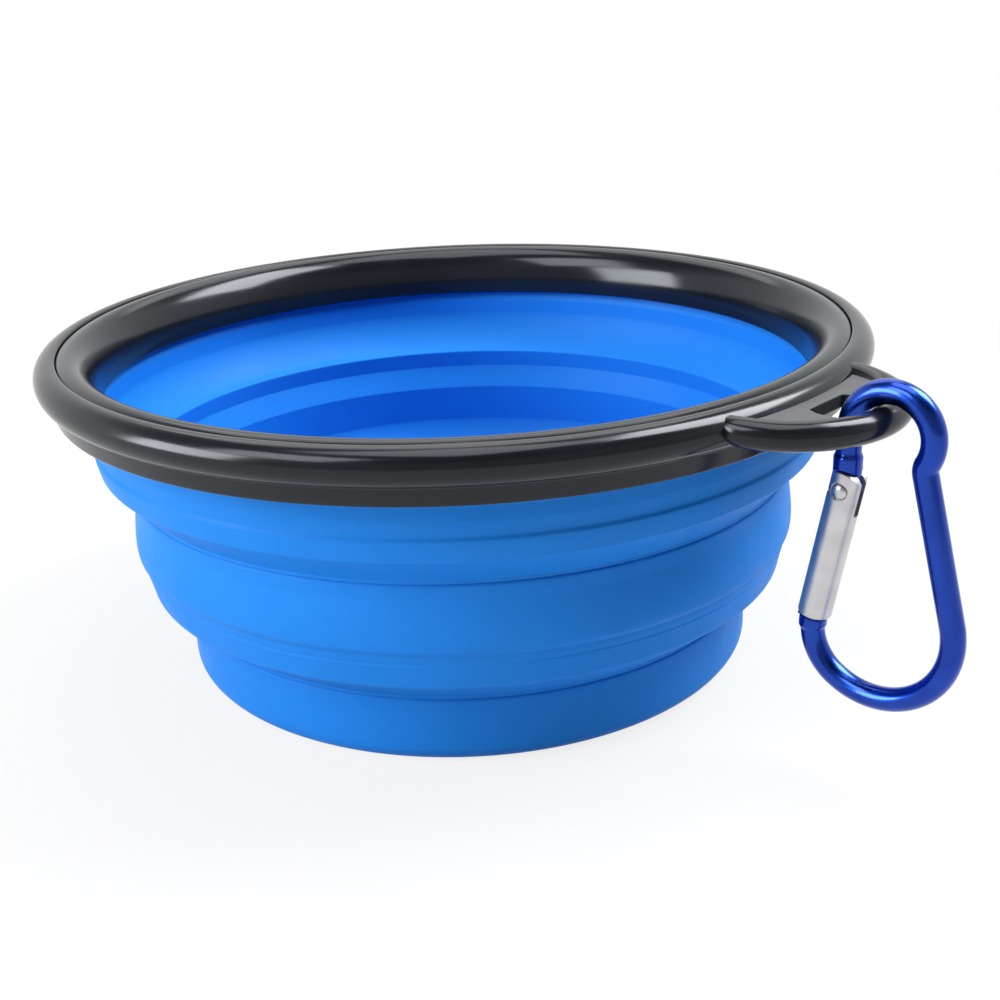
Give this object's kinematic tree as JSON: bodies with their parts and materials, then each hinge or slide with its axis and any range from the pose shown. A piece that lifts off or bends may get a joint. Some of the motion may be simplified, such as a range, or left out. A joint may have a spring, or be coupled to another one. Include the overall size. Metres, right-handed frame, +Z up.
{
  "type": "collapsible silicone bowl",
  "caption": "Round collapsible silicone bowl with stepped folding tiers, a clamped black rim with a hanging lug, and a pear-shaped carabiner with a sprung gate.",
  "frame": {"origin": "centre of the base's flat underside, on the surface the bowl stands on", "axes": "+Z up along the bowl's axis, +X towards the lug and the carabiner"},
  "size_m": [0.1535, 0.13, 0.0566],
  "materials": {
    "blue_silicone": "smooth matt silicone with a soft sheen",
    "black_rim": "soft gloss moulded plastic",
    "blue_anodised": "blue anodised, polished",
    "bare_aluminium": "satin bare aluminium",
    "steel": "plain steel"
  },
  "bodies": {
    "base": {"base_tier": "blue_silicone", "lower_fold": "blue_silicone"},
    "middle": {"middle_tier": "blue_silicone", "upper_fold": "blue_silicone"},
    "rim": {"upper_tier": "blue_silicone", "outer_ring": "black_rim", "clamp_ring": "black_rim"},
    "carabiner": {"carabiner_body": "blue_anodised"},
    "gate": {"carabiner_gate": "bare_aluminium", "gate_rivet": "steel", "gate_spring": "steel"},
    "plunger": {"spring_plunger": "steel"}
  },
  "joints": [
    {"name": "lower_collapse", "type": "slide", "parent": "base", "child": "middle", "axis": [0, 0, -1], "range_m": [0, 0.02], "deforming": ["lower_fold"]},
    {"name": "upper_collapse", "type": "slide", "parent": "middle", "child": "rim", "axis": [0, 0, -1], "range_m": [0, 0.0196], "deforming": ["upper_fold"]},
    {"name": "carabiner_swing", "type": "hinge", "parent": "rim", "child": "carabiner", "pos_m": [0.07545, 0, 0.051], "axis": [0, -1, 0], "range_deg": [-20, 180]},
    {"name": "gate_pivot", "type": "hinge", "parent": "carabiner", "child": "gate", "pos_m": [0.07061, 0, 0.04102], "axis": [0, -1, 0], "range_deg": [0, 48], "stiffness_Nm_per_rad": 0.08, "springref_deg": -28.65},
    {"name": "plunger_slide", "type": "slide", "parent": "gate", "child": "plunger", "axis": [-0.1908, 0, -0.9816], "range_m": [0, 0.0007], "deforming": ["gate_spring"]}
  ],
  "couplings": [
    {"joint": "plunger_slide", "follows": "gate_pivot", "m_per_rad": 0.0008}
  ]
}
